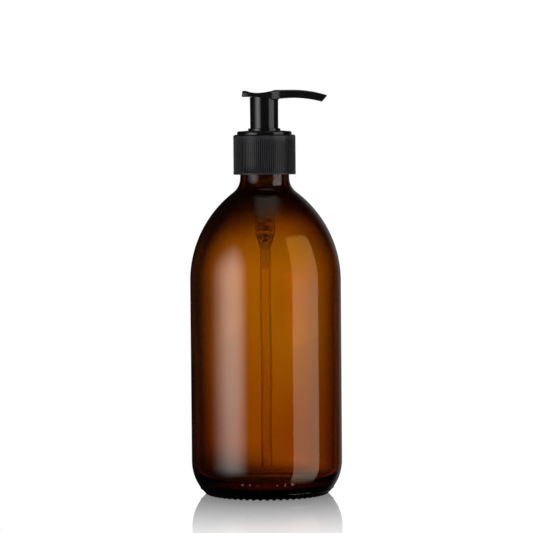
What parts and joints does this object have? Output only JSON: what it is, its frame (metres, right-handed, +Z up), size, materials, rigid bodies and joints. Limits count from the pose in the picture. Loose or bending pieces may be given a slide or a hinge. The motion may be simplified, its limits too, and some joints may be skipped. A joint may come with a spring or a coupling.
{
  "type": "soap pump dispenser",
  "caption": "Round amber glass bottle with a sloping shoulder and a black ribbed screw-on pump: pressing the long curved spout draws liquid soap up the dip tube.",
  "frame": {"origin": "on the bottle's axis, on the plane of the bearing ring that it stands on", "axes": "+Z up along the bottle and pump axis, +X along the spout, +Y away from the camera of the picture"},
  "size_m": [0.0754, 0.0754, 0.2024],
  "materials": {
    "amber_glass": "clear amber, polished",
    "black_satin_plastic": "satin black",
    "black_gloss_plastic": "moulded black, semi-gloss",
    "natural_plastic": "unpigmented, hazy",
    "white_gasket": "white foam sheet",
    "steel": "bright stainless"
  },
  "bodies": {
    "bottle": {"bottle": "amber_glass"},
    "pump": {"housing": "natural_plastic", "lock_collar": "black_gloss_plastic", "gasket": "white_gasket", "dip_tube": "natural_plastic", "spring": "steel"},
    "closure": {"closure": "black_satin_plastic"},
    "piston": {"piston": "natural_plastic"},
    "head": {"actuator": "black_gloss_plastic", "stem": "natural_plastic", "stem_plug": "natural_plastic"},
    "inlet_ball": {"inlet_ball": "steel"}
  },
  "joints": [
    {"name": "pump_lift", "type": "slide", "parent": "bottle", "child": "pump", "axis": [0, 0, 1], "range_m": [0, 0.17]},
    {"name": "closure_turn", "type": "hinge", "parent": "pump", "child": "closure", "pos_m": [0, 0, 0.17855], "axis": [0, 0, 1], "range_deg": [0, 450]},
    {"name": "head_press", "type": "slide", "parent": "pump", "child": "piston", "axis": [0, 0, 1], "range_m": [-0.014, 0], "stiffness_N_per_m": 700, "springref_m": 0.012, "deforming": ["spring"]},
    {"name": "head_swivel", "type": "hinge", "parent": "piston", "child": "head", "pos_m": [0, 0, 0.1632], "axis": [0, 0, 1], "continuous": true},
    {"name": "ball_lift", "type": "slide", "parent": "pump", "child": "inlet_ball", "axis": [0, 0, 1], "range_m": [0, 0.00145]}
  ]
}
